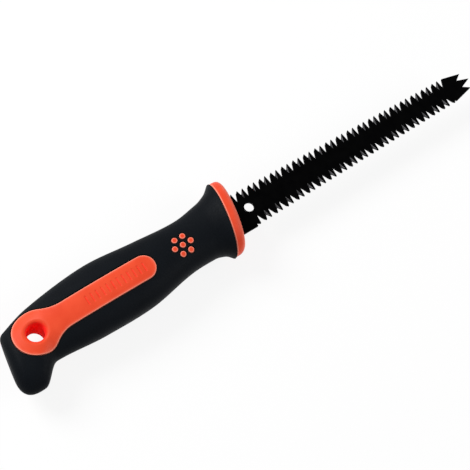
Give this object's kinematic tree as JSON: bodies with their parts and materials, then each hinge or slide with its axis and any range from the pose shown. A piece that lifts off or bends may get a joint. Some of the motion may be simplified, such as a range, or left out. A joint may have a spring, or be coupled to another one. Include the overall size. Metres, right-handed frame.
{
  "type": "drywall saw",
  "caption": "Hand saw for plasterboard: a double-edged toothed blade with a fanged tip in a two-material moulded handle with a hang hole.",
  "frame": {"origin": "centre of the hang hole, in the middle plane of the blade", "axes": "+X along the blade to its tip, +Y towards the upper toothed edge and away from the pommel's hook, +Z square to the blade along the hang hole"},
  "size_m": [0.2937, 0.0477, 0.03],
  "materials": {
    "coated_steel": "satin black coating, bare on the ground flanks",
    "orange_plastic": "fine satin moulding",
    "black_rubber": "matte soft overmould"
  },
  "bodies": {
    "root": {"blade": "coated_steel", "core": "orange_plastic", "soft_grip": "black_rubber"}
  },
  "joints": []
}
